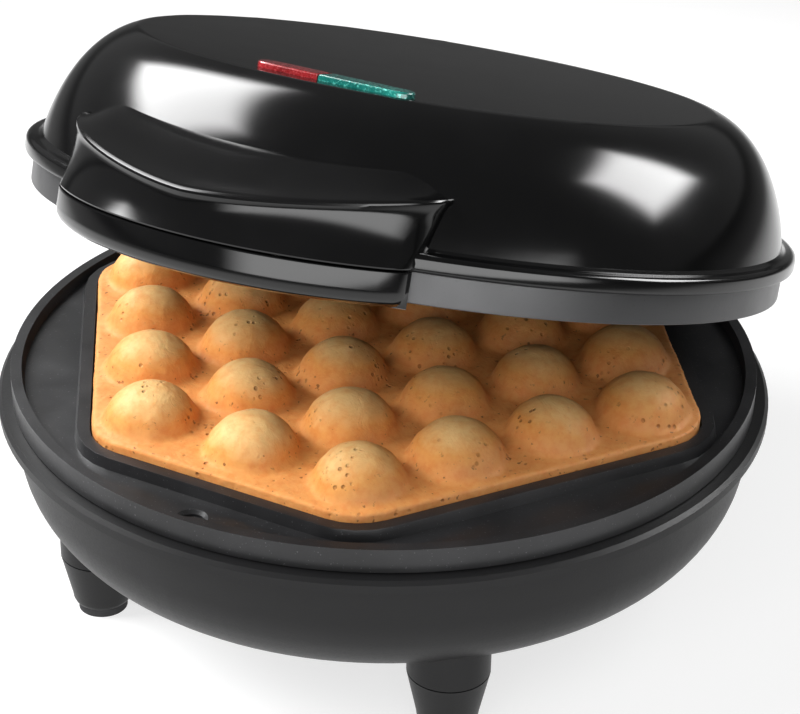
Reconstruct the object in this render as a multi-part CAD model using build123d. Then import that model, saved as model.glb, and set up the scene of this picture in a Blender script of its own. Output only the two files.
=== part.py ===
from build123d import *
import math
import os

os.makedirs("parts", exist_ok=True)

# Bubble waffle maker, half open, with a waffle in the lower plate.
# Millimetres. +Z up, +X to the user's right, +Y to the hinge, handle at -Y.
# Pieces are drawn closed about the parting plane z = 0, where the two plate rims meet,
# and moved to the table frame at the end. r is a distance from the vertical axis.

# Stance
parting_height = 62.0      # table to parting plane
bowl_axis_y = -7.6         # centres the half open outline on the table frame
lid_open = 17.4            # degrees from closed in the rest pose
hinge_y = 100.0
hinge_drop = 20.0          # hinge axis below the parting plane

# Fits
seat_gap = 0.3             # between two pieces that rest on each other
rim_gap = 0.3              # between the two plate rims when closed
pin_play = 0.05            # radial, hinge pin in its bores
side_play = 0.4            # hinge tail between the ears
waffle_play = 0.7          # waffle to the ridges round it
screw_play = 0.2           # radial, screws in their bores

# Bubbles, in rows across X
bubble_pitch = 28.5
row_pitch = 20.9
middle_row = 6             # bubbles in the middle row, one fewer in each row outwards
outer_rows = 3             # rows on each side of the middle one
bubble_radius = 12.4
bubble_centre = 0.4        # sphere centre beyond the parting plane
bubble_play = 0.7          # waffle bubble inside its dimple
cup_mouth = 11.8           # hexagonal cups under the waffle, across corners / 2
cup_floor = 6.4
cup_depth = 9.0
cup_sides = 6
dome_sides = 10            # of each waffle bubble
dome_rings = (38, 68)      # degrees up the bubble

# Cooking plates
plate_radius = 94.0
lower_wall = 6.0
upper_wall = 7.0
core_radius = 86.0         # thick middle of the casting
core_depth = 15.0
recess_depth = 2.5
ridge_inner = 14.6         # ridge edges, out from the hexagon of bubble centres
ridge_outer = 17.4
ridge_foot = 18.2
well_depth = 2.8           # between ridge and rim
rim_width = 2.75
rim_draft = 0.6
locating_hole_y = -88.6
locating_hole_radius = 3.0
locating_hole_depth = 2.0
locating_chamfer = 0.8

# Base housing
lip_radius = 97.5
lip_height = 3.0
lip_edge = 0.9             # bevel on the lip and the bead
bowl_radius = 94.0
bowl_lean = 2.5            # side leans in over its height
bowl_bottom = 43.4         # below the parting plane
bowl_flat = 55.0           # radius of the flat bottom
bowl_upturn = 1.9          # floor rises outside the flat
bowl_corner = 24.0
cavity_bevel = 19.0        # inside corner of the bowl, cut flat
housing_wall = 2.4
seat_radius = 88.0         # inner edge of the ring under each plate rim

# Lid housing
bead_radius = 96.5
bead_height = 4.0
dome_radius = 93.2
dome_height = 42.6
dome_lean = 6.3            # side leans in up to the crown
dome_corner = 29.0
ceiling_bevel = 16.0       # inside corner of the dome, cut flat
crown_wall = 4.0
facet_y = -74.0            # front crease of the flat facet on the crown
facet_z = 40.9
facet_tilt = 0.66

# Handle
handle_back = -70.0
seam_height = 8.0
seam_half_width = 44.0
seam_side_y = -97.0
seam_front_y = -112.0
seam_corner = 10.0
crest_half_width = 51.0
crest_side_y = -80.0
crest_front_y = -103.5
crest_corner = 5.0
shelf_height = 24.5
scoop_top_y = -91.0
scoop_sag = 1.6
scoop_front_y = -107.0
scoop_front_z = 16.0
cover_half_width = 45.0
cover_side_y = -104.0
cover_front_y = -116.0
cover_corner = 8.0
cover_round = 1.5
cover_bottom = 0.4
handle_screw_x = 30.0
handle_screw_y = -103.0

# Hinge
pin_radius = 3.0
tail_half_width = 32.0
knuckle_radius = 6.0
tail_rear_y = 105.5
tail_shoulder_z = 12.0
tail_root_y = 87.0
tail_root_z = 28.0
lip_clearance = 0.9
ear_thickness = 8.0
ear_radius = 8.0
ear_root_y = 80.0
ear_root_top = 12.0        # below the parting plane
ear_root_bottom = 36.0

# Feet
foot_x = 50.0
foot_y = 57.0
foot_top_radius = 10.0
foot_waist_radius = 7.6
foot_waist_height = 15.0
foot_bottom_radius = 7.0
pad_radius = 6.2
pad_height = 3.0
pad_recess = 1.0
foot_socket_drop = 45.5    # flat socket face below the parting plane
foot_screw_depth = 6.0     # into the socket
foot_web = 8.0             # foot above the screw head

# Screws and posts
screw_radius = 1.75
screw_head_radius = 3.4
screw_head = 2.2
small_sides = 8            # sides of small posts, bores and shanks inside the housings
plate_post_x = 42.0
plate_post_y = 20.0
post_radius = 4.6
shoulder_radius = 6.6
upper_screw_reach = 84.0
upper_screw_angle = 34.3
upper_boss_radius = 5.2
lower_screw_length = 17.0
upper_screw_length = 22.0
thread_length = 8.0
plate_pad = 3.0            # floor left under a screw head

# Heating
heater_radius = 64.0
heater_width = 7.0
heater_height = 6.0
heater_gap = 40.0          # degrees left open at the back
terminal_size = 4.0
terminal_reach = 30.5      # from the parting plane
clip_width = 8.0
clip_reach = 22.0
clip_sheet = 1.2
clip_angles = (180, 300, 60)
pan_sheet = 0.8
pan_rim = 85.0
pan_shoulder = 76.0
pan_floor_radius = 71.0
pan_depth = 27.0           # from the parting plane to the far face
thermostat_radius = 8.0
thermostat_height = 7.0
blade_length = 2.0
fuse_radius = 2.5
fuse_length = 18.0
fuse_y = 34.0

# Base electrics
block_length = 28.0
block_width = 14.0
block_height = 8.0
block_y = 52.0
lead_radius = 1.3
lead_bend = 4.0
bushing_drop = 35.0        # axis below the parting plane
bushing_boss_radius = 8.3
bushing_face_y = 91.4
bushing_wall = 4.0
bushing_radius = 4.6
bushing_flange = 6.4
bushing_flange_thickness = 2.6
bushing_bore = 3.2

# Lamps
lens_length = 20.0
lens_width = 5.0
lens_gap = 1.0
lens_y = 16.0              # behind the front crease
lens_proud = 0.4
holder_wall = 1.6
holder_height = 9.0
lamp_radius = 2.2
lamp_length = 14.0

middle = (Align.CENTER, Align.CENTER, Align.CENTER)
upward = (Align.CENTER, Align.CENTER, Align.MIN)
downward = (Align.CENTER, Align.CENTER, Align.MAX)


# Shared forms

def turned_outline(points):
    return revolve(Plane.XZ * make_face(Polyline(*points, close=True)), Axis.Z)


def turned_rounded(points, corner, radius):
    outline = make_face(Polyline(*points, close=True))
    vertex = outline.vertices().sort_by_distance(Vector(*points[corner]))[0]
    return revolve(Plane.XZ * fillet(vertex, radius), Axis.Z)


def side_profile(points):
    return make_face(Plane.YZ * Polyline(*points, close=True))


def post(radius, height, sides=small_sides):
    return extrude(RegularPolygon(radius, sides), height)


def bubble_centres():
    centres = []
    for row in range(-outer_rows, outer_rows + 1):
        count = middle_row - abs(row)
        for k in range(count):
            centres.append(((k - (count - 1) / 2) * bubble_pitch, row * row_pitch))
    return centres


def hexagon(margin, z=0.0):
    end_x = (middle_row - outer_rows - 1) / 2 * bubble_pitch
    middle_x = (middle_row - 1) / 2 * bubble_pitch
    end_y = outer_rows * row_pitch
    corners = [(-end_x, -end_y), (end_x, -end_y), (middle_x, 0)]
    corners += [(end_x, end_y), (-end_x, end_y), (-middle_x, 0)]
    outline = make_face(Polyline(*corners, close=True))
    return Pos(0, 0, z) * offset(outline, amount=margin, kind=Kind.INTERSECTION)


def screw(length):
    head = Pos(0, 0, -screw_head) * post(screw_head_radius, screw_head, 6)
    return head + post(screw_radius, length)


def four(x, y):
    return [(sx * x, sy * y) for sx in (-1, 1) for sy in (-1, 1)]


def placed(shape, spots, z=0.0):
    return Compound(children=[Pos(x, y, z) * shape for x, y in spots])


# Cooking plates, drawn with the cooking face up at z = 0

def dimple_tool():
    mouth = math.degrees(math.asin((recess_depth + bubble_centre) / bubble_radius))
    cap = Sphere(bubble_radius, arc_size1=-90, arc_size2=-mouth, align=None)
    return Pos(0, 0, bubble_centre) * cap


def cup(shrink=0.0):
    mouth = RegularPolygon(cup_mouth - shrink, cup_sides, rotation=30)
    floor = RegularPolygon(cup_floor - shrink, cup_sides, rotation=30)
    return loft([mouth, Pos(0, 0, -(cup_depth - shrink)) * floor], ruled=True)


def plate_blank(wall_height):
    plate = Cylinder(plate_radius, wall_height, align=downward)
    plate += Cylinder(core_radius, core_depth, align=downward)
    well_mouth = plate_radius - rim_width
    well = Pos(0, 0, -well_depth) * Cone(well_mouth - rim_draft, well_mouth, well_depth,
                                         align=upward)
    ridge = loft([hexagon(ridge_outer), hexagon(ridge_foot, -well_depth)], ruled=True)
    plate -= well - ridge
    return plate - extrude(hexagon(ridge_inner), -recess_depth)


def locating_hole():
    mouth = -well_depth
    hole = Cylinder(locating_hole_radius, locating_hole_depth, align=downward)
    cone = Cone(locating_hole_radius, locating_hole_radius + locating_chamfer,
                locating_chamfer, align=downward)
    return Pos(0, locating_hole_y, mouth) * (hole + cone)


def lower_plate():
    plate = plate_blank(lower_wall)
    plate -= [Pos(x, y, -recess_depth) * cup() for x, y in bubble_centres()]
    plate -= locating_hole()
    bore = post(screw_radius + screw_play, thread_length)
    return plate - [Pos(x, y, -core_depth) * bore for x, y in four(plate_post_x, plate_post_y)]


def upper_screw_spots():
    angle = math.radians(upper_screw_angle)
    return four(upper_screw_reach * math.cos(angle), upper_screw_reach * math.sin(angle))


def upper_plate():
    plate = plate_blank(upper_wall)
    plate -= [Pos(x, y, 0) * dimple_tool() for x, y in bubble_centres()]
    bore = Pos(0, 0, -core_depth) * post(screw_radius + screw_play, core_depth)
    plate -= [Pos(x, y, 0) * bore for x, y in upper_screw_spots()]
    return Pos(0, 0, rim_gap) * mirror(plate, Plane.XY)


def waffle_bubble(foot_z):
    radius = bubble_radius - bubble_play
    foot = math.degrees(math.asin((foot_z + bubble_centre) / radius))
    rings = []
    for angle in (foot, *dome_rings):
        level = radius * math.sin(math.radians(angle)) - bubble_centre
        reach = radius * math.cos(math.radians(angle))
        rings.append(Pos(0, 0, level) * RegularPolygon(reach, dome_sides))
    return loft(rings, ruled=True)


def waffle():
    web_half = recess_depth - seat_gap
    web = extrude(hexagon(ridge_inner - waffle_play, -web_half), 2 * web_half)
    bubble = waffle_bubble(web_half)
    bubbles = [Pos(x, y, 0) * bubble for x, y in bubble_centres()]
    drops = [Pos(x, y, -web_half) * cup(seat_gap * 2) for x, y in bubble_centres()]
    return web + bubbles + drops


# Base

lip_top = lower_wall + seat_gap
lip_bottom = lip_top + lip_height


def bowl_solid():
    points = [(bowl_radius, -lip_bottom), (bowl_radius - bowl_lean, -bowl_bottom + bowl_upturn),
              (bowl_flat, -bowl_bottom), (0, -bowl_bottom), (0, -lip_bottom)]
    return turned_rounded(points, 1, bowl_corner)


def bowl_cavity():
    wall = bowl_radius - housing_wall
    floor = bowl_bottom - housing_wall
    low = wall - bowl_lean
    return turned_outline([(0, -lip_top), (seat_radius, -lip_top), (seat_radius, -lip_bottom),
                           (wall, -lip_bottom), (low, -floor + cavity_bevel),
                           (low - cavity_bevel, -floor), (0, -floor)])


def lip_ring():
    inner = bowl_radius - housing_wall
    return turned_outline([(lip_radius, -lip_bottom), (lip_radius, -lip_top - lip_edge),
                           (lip_radius - lip_edge, -lip_top), (inner, -lip_top),
                           (inner, -lip_bottom)])


def ears():
    points = [(ear_root_y, -ear_root_top), (hinge_y, -hinge_drop + ear_radius),
              (hinge_y, -hinge_drop - ear_radius), (ear_root_y, -ear_root_bottom)]
    middle_x = tail_half_width + side_play + ear_thickness / 2
    ear = Pos(middle_x, 0, 0) * extrude(side_profile(points), ear_thickness / 2, both=True)
    ear += Pos(middle_x, hinge_y, -hinge_drop) * Rot(0, 90, 0) * Cylinder(ear_radius,
                                                                        ear_thickness)
    return ear + mirror(ear, Plane.YZ)


def pin_bores():
    reach = 2 * (tail_half_width + side_play + ear_thickness) + 2
    return Pos(0, hinge_y, -hinge_drop) * Rot(0, 90, 0) * Cylinder(pin_radius + pin_play, reach)


def bushing_axis(y):
    return Pos(0, y, -bushing_drop) * Rot(-90, 0, 0)


def base_housing():
    body = bowl_solid() + lip_ring() + ears()
    body += foot_sockets()
    boss_depth = bushing_face_y - bowl_flat
    body += bushing_axis(bowl_flat) * Cylinder(bushing_boss_radius, boss_depth, align=upward)
    body -= bowl_cavity()
    body += plate_posts()
    inner_depth = boss_depth - bushing_wall
    body -= bushing_axis(bowl_flat) * Cylinder(bushing_flange + seat_gap, inner_depth,
                                               align=upward)
    body -= bushing_axis(bowl_flat) * Cylinder(bushing_radius, boss_depth, align=upward)
    body -= foot_screw_bores()
    body -= plate_screw_bores()
    return body - pin_bores()


def foot_sockets():
    height = bowl_corner / 2
    socket = Pos(0, 0, -foot_socket_drop) * Cylinder(foot_top_radius, height, align=upward)
    return placed(socket, four(foot_x, foot_y))


def foot_screw_bores():
    bore = Pos(0, 0, -foot_socket_drop) * post(screw_radius + screw_play, foot_screw_depth)
    return placed(bore, four(foot_x, foot_y))


def plate_posts():
    post_top = core_depth + seat_gap
    low = Pos(0, 0, -bowl_bottom) * post(shoulder_radius, bowl_bottom - pan_depth - seat_gap)
    high = Pos(0, 0, -bowl_bottom) * post(post_radius, bowl_bottom - post_top)
    return placed(low + high, four(plate_post_x, plate_post_y))


def plate_screw_head_z():
    return -(core_depth + seat_gap) - plate_pad


def plate_screw_bores():
    bore = Pos(0, 0, -bowl_bottom) * post(screw_radius + screw_play, bowl_bottom)
    access = Pos(0, 0, -bowl_bottom) * post(screw_head_radius + screw_play,
                                            bowl_bottom + plate_screw_head_z())
    return placed(bore + access, four(plate_post_x, plate_post_y))


def foot():
    foot_bottom = -parting_height + pad_height - pad_recess
    waist = foot_bottom + foot_waist_height
    top = -foot_socket_drop - seat_gap
    leg = turned_outline([(0, foot_bottom), (foot_bottom_radius, foot_bottom),
                          (foot_waist_radius, waist), (foot_top_radius, top), (0, top)])
    leg -= Pos(0, 0, foot_bottom) * Cylinder(pad_radius + screw_play, pad_recess, align=upward)
    leg -= Pos(0, 0, foot_bottom) * post(screw_radius + screw_play, top - foot_bottom)
    return leg - Pos(0, 0, foot_bottom) * post(screw_head_radius + screw_play,
                                               top - foot_web - foot_bottom)


def foot_at(x, y):
    return Pos(x, y, 0) * foot()


def foot_pad():
    return Pos(0, 0, -parting_height) * Cylinder(pad_radius, pad_height, align=upward)


def foot_screws():
    head_z = -foot_socket_drop - seat_gap - foot_web
    length = foot_web + seat_gap + foot_screw_depth - screw_play
    return placed(screw(length), four(foot_x, foot_y), head_z)


def lower_plate_screws():
    return placed(screw(plate_pad + thread_length - screw_play),
                  four(plate_post_x, plate_post_y), plate_screw_head_z())


def hinge_pins():
    length = ear_thickness + tail_half_width / 2
    start = tail_half_width / 2 + side_play
    pin = Pos(start, hinge_y, -hinge_drop) * Rot(0, 90, 0) * Cylinder(
        pin_radius, length, align=upward)
    return Compound(children=[pin, mirror(pin, Plane.YZ)])


def terminal_block():
    floor = bowl_bottom - housing_wall - seat_gap
    block = Pos(0, block_y, -floor) * Box(block_length, block_width, block_height, align=upward)
    slot = Box(block_length / 5, block_width / 2, block_height / 2, align=downward)
    spots = [(-block_length / 4, block_y), (block_length / 4, block_y)]
    return block - [Pos(x, y, -floor + block_height) * slot for x, y in spots]


def cord_bushing():
    inner_face = bushing_face_y - bushing_wall - seat_gap
    body = Cylinder(bushing_radius - pin_play, bushing_wall + 2 * seat_gap, align=upward)
    flange = Cylinder(bushing_flange, bushing_flange_thickness, align=upward)
    outer = Pos(0, 0, bushing_wall + 2 * seat_gap) * flange
    inner = Pos(0, 0, -bushing_flange_thickness) * flange
    bore_length = bushing_wall + 2 * (seat_gap + bushing_flange_thickness)
    bore = Pos(0, 0, -bushing_flange_thickness) * Cylinder(bushing_bore, bore_length,
                                                           align=upward)
    return bushing_axis(inner_face) * (body + outer + inner - bore)


# Heating parts, drawn under a plate that cooks upwards

def heater_ends():
    half = math.radians(heater_gap / 2)
    return [(side * heater_radius * math.sin(half), heater_radius * math.cos(half))
            for side in (-1, 1)]


def heater():
    top = -(core_depth + seat_gap)
    section = Pos(heater_radius, top - heater_height / 2) * Rectangle(heater_width,
                                                                      heater_height)
    ring = revolve(Plane.XZ * section, Axis.Z, 360 - heater_gap)
    ring = Rot(0, 0, 90 + heater_gap / 2) * ring
    stub_length = terminal_reach + top
    stub = Box(terminal_size, terminal_size, stub_length, align=downward)
    inset = math.degrees(terminal_size / 2 / heater_radius)
    for side, (x, y) in zip((1, -1), heater_ends()):
        ring += Rot(0, 0, side * inset) * Pos(x, y, top) * stub
    return ring


def heater_clips():
    top = -core_depth
    under = top - seat_gap - heater_height - seat_gap
    half = clip_reach / 2
    inner = heater_width / 2 + seat_gap
    outer = inner + clip_sheet
    points = [(-half, top), (-inner, top), (-inner, under), (inner, under), (inner, top),
              (half, top), (half, top - clip_sheet), (outer, top - clip_sheet),
              (outer, under - clip_sheet), (-outer, under - clip_sheet),
              (-outer, top - clip_sheet), (-half, top - clip_sheet)]
    face = make_face(Plane.XZ * Polyline(*points, close=True))
    clip = Pos(heater_radius, 0, 0) * extrude(face, clip_width / 2, both=True)
    return Compound(children=[Rot(0, 0, angle + 90) * clip for angle in clip_angles])


def reflector():
    rim = core_depth + seat_gap
    inner = pan_depth - pan_sheet
    return turned_outline([(0, -inner), (pan_floor_radius, -inner), (pan_shoulder, -rim),
                           (pan_rim, -rim), (pan_rim, -rim - pan_sheet),
                           (pan_shoulder + pan_sheet, -rim - pan_sheet),
                           (pan_floor_radius + pan_sheet, -pan_depth), (0, -pan_depth)])


def terminal_windows():
    window = Box(terminal_size * 2, terminal_size * 2, terminal_size, align=middle)
    return [Pos(x, y, -pan_depth) * window for x, y in heater_ends()]


def lower_reflector():
    pan = reflector() - terminal_windows()
    hole = Pos(0, 0, -pan_depth) * post(post_radius + seat_gap, pan_sheet)
    return pan - [Pos(x, y, 0) * hole for x, y in four(plate_post_x, plate_post_y)]


def upper_reflector():
    pan = reflector() - terminal_windows()
    rim = core_depth + seat_gap + pan_sheet
    hole = Pos(0, 0, -rim) * post(screw_radius + screw_play, pan_sheet)
    return flip(pan - [Pos(x, y, 0) * hole for x, y in upper_screw_spots()])


def flip(shape):
    return Pos(0, 0, rim_gap) * mirror(shape, Plane.XY)


def thermostat():
    top = -(core_depth + seat_gap)
    body = Pos(0, 0, top) * Cylinder(thermostat_radius, thermostat_height, align=downward)
    blade = Box(blade_length / 2, terminal_size, blade_length, align=downward)
    low = top - thermostat_height
    return body + [Pos(side * thermostat_radius / 2, 0, low) * blade for side in (-1, 1)]


def thermal_fuse():
    z = -(core_depth + seat_gap) - fuse_radius
    return Pos(0, fuse_y, z) * Rot(0, 90, 0) * Cylinder(fuse_radius, fuse_length)


def lead(points):
    path = FilletPolyline(*points, radius=lead_bend)
    start = Plane(path @ 0, z_dir=path % 0)
    return sweep(start * RegularPolygon(lead_radius, 6), path=path)


def base_wiring():
    floor = bowl_bottom - housing_wall - seat_gap
    z = -floor + block_height / 2
    x, y = heater_ends()[1]
    out = block_length / 2 + seat_gap
    run = lead([(out, block_y, z), (x, block_y, z), (x, y, z), (x, y, -terminal_reach - seat_gap)])
    return Compound(children=[run, mirror(run, Plane.YZ)])


# Lid, drawn closed

bead_bottom = rim_gap + upper_wall + seat_gap
dome_foot = bead_bottom + bead_height


def dome_solid():
    edge = bead_radius - lip_edge
    points = [(dome_radius - dome_lean, dome_height), (dome_radius, dome_foot),
              (edge, dome_foot), (bead_radius, dome_foot - lip_edge),
              (bead_radius, bead_bottom), (0, bead_bottom), (0, dome_height)]
    return turned_rounded(points, 0, dome_corner)


def dome_cavity():
    shelf = bead_bottom + lip_height
    wall = dome_radius - housing_wall
    ceiling = dome_height - crown_wall
    high = wall - dome_lean
    return turned_outline([(0, bead_bottom), (seat_radius, bead_bottom), (seat_radius, shelf),
                           (wall, shelf), (high, ceiling - ceiling_bevel),
                           (high - ceiling_bevel, ceiling), (0, ceiling)])


def facet_frame():
    return Pos(0, facet_y, facet_z) * Rot(facet_tilt, 0, 0)


def crown_cut():
    width = 4 * dome_radius
    return facet_frame() * Box(width, width, dome_height, align=upward)


def handle_plan(half_width, side_y, front_y, corner, z):
    front = ThreePointArc((-half_width, side_y), (0, front_y), (half_width, side_y))
    back = Polyline((half_width, side_y), (half_width, handle_back), (-half_width, handle_back),
                    (-half_width, side_y))
    plan = make_face(Wire([front, *back.edges()]))
    corners = plan.vertices().group_by(Axis.Y)[0]
    return Pos(0, 0, z) * fillet(corners, corner)


def handle_body():
    seam = handle_plan(seam_half_width, seam_side_y, seam_front_y, seam_corner, seam_height)
    crest = handle_plan(crest_half_width, crest_side_y, crest_front_y, crest_corner,
                        shelf_height)
    return loft([seam, crest], ruled=True) - scoop()


def scoop():
    low = (scoop_front_y, scoop_front_z)
    high = (scoop_top_y, shelf_height)
    slope = (shelf_height - scoop_front_z) / (scoop_top_y - scoop_front_y)
    mid = ((low[0] + high[0]) / 2, (low[1] + high[1]) / 2 - scoop_sag)
    ahead = scoop_front_y * 1.2
    curve = ThreePointArc(low, mid, high)
    rest = Polyline(high, (scoop_top_y, dome_height), (ahead, dome_height),
                    (ahead, scoop_front_z + slope * (ahead - scoop_front_y) / 2), low)
    face = make_face(Plane.YZ * Wire([curve, *rest.edges()]))
    return extrude(face, crest_half_width * 1.2, both=True)


def tail():
    axis_z = -hinge_drop
    front = lip_radius + lip_clearance
    points = [(hinge_y + knuckle_radius, axis_z), (tail_rear_y, tail_shoulder_z),
              (tail_root_y, tail_root_z), (tail_root_y, bead_bottom), (front, bead_bottom),
              (front, -lip_bottom - knuckle_radius / 2), (hinge_y - knuckle_radius, axis_z)]
    plate = extrude(side_profile(points), tail_half_width, both=True)
    knuckle = Pos(0, hinge_y, axis_z) * Rot(0, 90, 0) * Cylinder(knuckle_radius,
                                                                 2 * tail_half_width)
    return plate + knuckle


def lid_bosses():
    start = rim_gap + core_depth + seat_gap + pan_sheet + seat_gap
    boss = Pos(0, 0, start) * post(upper_boss_radius, dome_height - start)
    return placed(boss, upper_screw_spots()) & dome_solid()


def upper_screw_bores():
    start = rim_gap + well_depth
    bore = Pos(0, 0, start) * post(screw_radius + screw_play, upper_screw_length + screw_play)
    return placed(bore, upper_screw_spots())


def lens_spots():
    step = (lens_length + lens_gap) / 2
    return [(-step, lens_y), (step, lens_y)]


def lens_windows():
    window = Pos(0, 0, -crown_wall) * extrude(
        SlotOverall(lens_length + 2 * screw_play, lens_width + 2 * screw_play),
        crown_wall + screw_play)
    return [facet_frame() * Pos(x, y, 0) * window for x, y in lens_spots()]


def lid_housing():
    body = dome_solid() + tail()
    body += handle_body()
    body -= dome_cavity()
    body += lid_bosses()
    body -= crown_cut()
    body -= upper_screw_bores()
    body -= lens_windows()
    body -= pin_bores()
    bore = Pos(0, 0, seam_height) * post(screw_radius + screw_play, thread_length / 2)
    return body - [Pos(x, handle_screw_y, 0) * bore for x in (-handle_screw_x, handle_screw_x)]


def handle_cover():
    top = seam_height - seat_gap
    plan = handle_plan(cover_half_width, cover_side_y, cover_front_y, cover_corner, cover_bottom)
    block = extrude(plan, top - cover_bottom)
    block -= Cylinder(bead_radius + seat_gap, dome_height, align=upward)
    lower_edges = block.edges().group_by(Axis.Z)[0].sort_by(Axis.Y)[:-1]
    block = chamfer(lower_edges.filter_by(lambda e: e.center().Y < -bead_radius), cover_round)
    bore = Pos(0, 0, cover_bottom) * post(screw_radius + screw_play, top)
    head = Pos(0, 0, cover_bottom) * post(screw_head_radius + screw_play, screw_head + seat_gap)
    tool = bore + head
    return block - [Pos(x, handle_screw_y, 0) * tool for x in (-handle_screw_x, handle_screw_x)]


def handle_screws():
    z = cover_bottom + screw_head + seat_gap
    length = seam_height - z + thread_length / 2 - screw_play
    spots = [(-handle_screw_x, handle_screw_y), (handle_screw_x, handle_screw_y)]
    return placed(screw(length), spots, z)


def upper_plate_screws():
    z = rim_gap + well_depth
    return placed(screw(upper_screw_length), upper_screw_spots(), z)


def lens(spot):
    floor = crown_wall - (dome_height - facet_z)
    body = Pos(0, 0, -floor) * extrude(SlotOverall(lens_length, lens_width), floor + lens_proud)
    return facet_frame() * Pos(*spot, 0) * body


def holder_top():
    return dome_height - crown_wall - seat_gap


def lamp_holder():
    length = 2 * lens_length + lens_gap + 2 * holder_wall
    width = lens_width + 2 * (holder_wall + seat_gap)
    spot_y = facet_y + lens_y
    tray = Pos(0, spot_y, holder_top()) * Box(length, width, holder_height, align=downward)
    pocket = Box(lens_length - 2 * holder_wall, lens_width + 2 * seat_gap,
                 holder_height - holder_wall, align=downward)
    return tray - [Pos(x, spot_y, holder_top()) * pocket for x, y in lens_spots()]


def lamp(spot):
    z = holder_top() - holder_height + holder_wall + seat_gap + lamp_radius
    return Pos(spot[0], facet_y + lens_y, z) * Rot(0, 90, 0) * Cylinder(lamp_radius, lamp_length)


def lid_wiring():
    back = facet_y + lens_y + lens_width / 2 + holder_wall + 2 * seat_gap
    high = holder_top() - holder_height / 2
    low = pan_depth + rim_gap + seat_gap + lead_radius
    x, y = heater_ends()[1]
    step = holder_top() - pan_depth
    run = lead([(x, back, high), (x, back + step, high), (x, back + 2 * step, low),
                (x, y - terminal_size, low)])
    return Compound(children=[run, mirror(run, Plane.YZ)])


# Table frame: the lid turns about the hinge axis, then everything rises to the table

def base_place(shape):
    return Pos(0, bowl_axis_y, parting_height) * shape


def lid_place(shape):
    swing = Pos(0, hinge_y, -hinge_drop) * Rot(-lid_open, 0, 0) * Pos(0, -hinge_y, hinge_drop)
    return base_place(swing * shape)


base_nodes = {
    "base_housing": base_housing(),
    "lower_plate": lower_plate(),
    "waffle": waffle(),
    "lower_heater": heater(),
    "lower_heater_clips": heater_clips(),
    "lower_reflector": lower_reflector(),
    "lower_plate_screws": lower_plate_screws(),
    "thermostat": thermostat(),
    "thermal_fuse": thermal_fuse(),
    "terminal_block": terminal_block(),
    "base_wiring": base_wiring(),
    "cord_bushing": cord_bushing(),
    "hinge_pins": hinge_pins(),
    "foot_screws": foot_screws(),
}
corner_names = ("front_left", "back_left", "front_right", "back_right")
for corner_name, (x, y) in zip(corner_names, four(foot_x, foot_y)):
    base_nodes["foot_" + corner_name] = foot_at(x, y)
    base_nodes["foot_pad_" + corner_name] = Pos(x, y, 0) * foot_pad()

red_spot, green_spot = lens_spots()
lid_nodes = {
    "lid_housing": lid_housing(),
    "handle_cover": handle_cover(),
    "handle_screws": handle_screws(),
    "upper_plate": upper_plate(),
    "upper_heater": flip(heater()),
    "upper_heater_clips": flip(heater_clips()),
    "upper_reflector": upper_reflector(),
    "upper_plate_screws": upper_plate_screws(),
    "red_lens": lens(red_spot),
    "green_lens": lens(green_spot),
    "lamp_holder": lamp_holder(),
    "red_lamp": lamp(red_spot),
    "green_lamp": lamp(green_spot),
    "lid_wiring": lid_wiring(),
}

for name, shape in base_nodes.items():
    export_step(base_place(shape), f"parts/{name}.step")
for name, shape in lid_nodes.items():
    export_step(lid_place(shape), f"parts/{name}.step")
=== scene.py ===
import math
import random

import bmesh
import bpy
from mathutils import Matrix, Vector


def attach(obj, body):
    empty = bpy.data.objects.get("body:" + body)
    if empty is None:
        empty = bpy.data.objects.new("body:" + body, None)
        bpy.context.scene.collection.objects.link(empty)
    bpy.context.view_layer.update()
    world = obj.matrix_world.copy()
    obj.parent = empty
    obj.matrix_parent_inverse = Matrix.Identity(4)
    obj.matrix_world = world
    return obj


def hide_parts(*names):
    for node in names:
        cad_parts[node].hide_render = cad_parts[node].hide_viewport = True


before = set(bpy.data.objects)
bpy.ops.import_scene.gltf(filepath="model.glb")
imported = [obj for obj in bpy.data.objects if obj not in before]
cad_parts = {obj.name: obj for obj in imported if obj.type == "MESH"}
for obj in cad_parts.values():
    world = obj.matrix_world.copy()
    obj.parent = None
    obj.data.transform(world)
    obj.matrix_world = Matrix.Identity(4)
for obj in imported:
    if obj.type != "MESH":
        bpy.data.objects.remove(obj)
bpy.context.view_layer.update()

# Pieces are drawn in millimetres on the bowl's axis, with the plates' parting plane at z = 0
# and the lid closed, then put in place. The lid is turned about its hinge to stand half open.
mm = 0.001
place = {"bowlY": -7.6, "parting": 62.0, "hingeY": 100.0, "hingeZ": -20.0, "lidOpen": 17.4}
bubbles = {"pitch": 28.5, "row": 20.9, "middle": 6, "outer": 3}
# metres within which points are merged
weld = {"spun": 0.00001, "swept": 0.00002, "cut": 0.0005}
random.seed(11)


def basePlace():
    return Matrix.Translation(Vector((0, place["bowlY"], place["parting"])) * mm)


def lidPlace():
    hinge = Matrix.Translation(Vector((0, place["hingeY"], place["hingeZ"])) * mm)
    swing = Matrix.Rotation(math.radians(-place["lidOpen"]), 4, "X")
    return basePlace() @ hinge @ swing @ hinge.inverted()


# Hand work: everything below is done to one selected object

def letGo():
    if bpy.context.object and bpy.context.object.mode != "OBJECT":
        bpy.ops.object.mode_set(mode="OBJECT")
    bpy.ops.object.select_all(action="DESELECT")


def pick(*objs):
    letGo()
    for obj in objs:
        obj.select_set(True)
    bpy.context.view_layer.objects.active = objs[0]


def edit(obj):
    pick(obj)
    bpy.ops.object.mode_set(mode="EDIT")
    bpy.ops.mesh.select_mode(type="VERT")
    bpy.ops.mesh.select_all(action="DESELECT")


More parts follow.
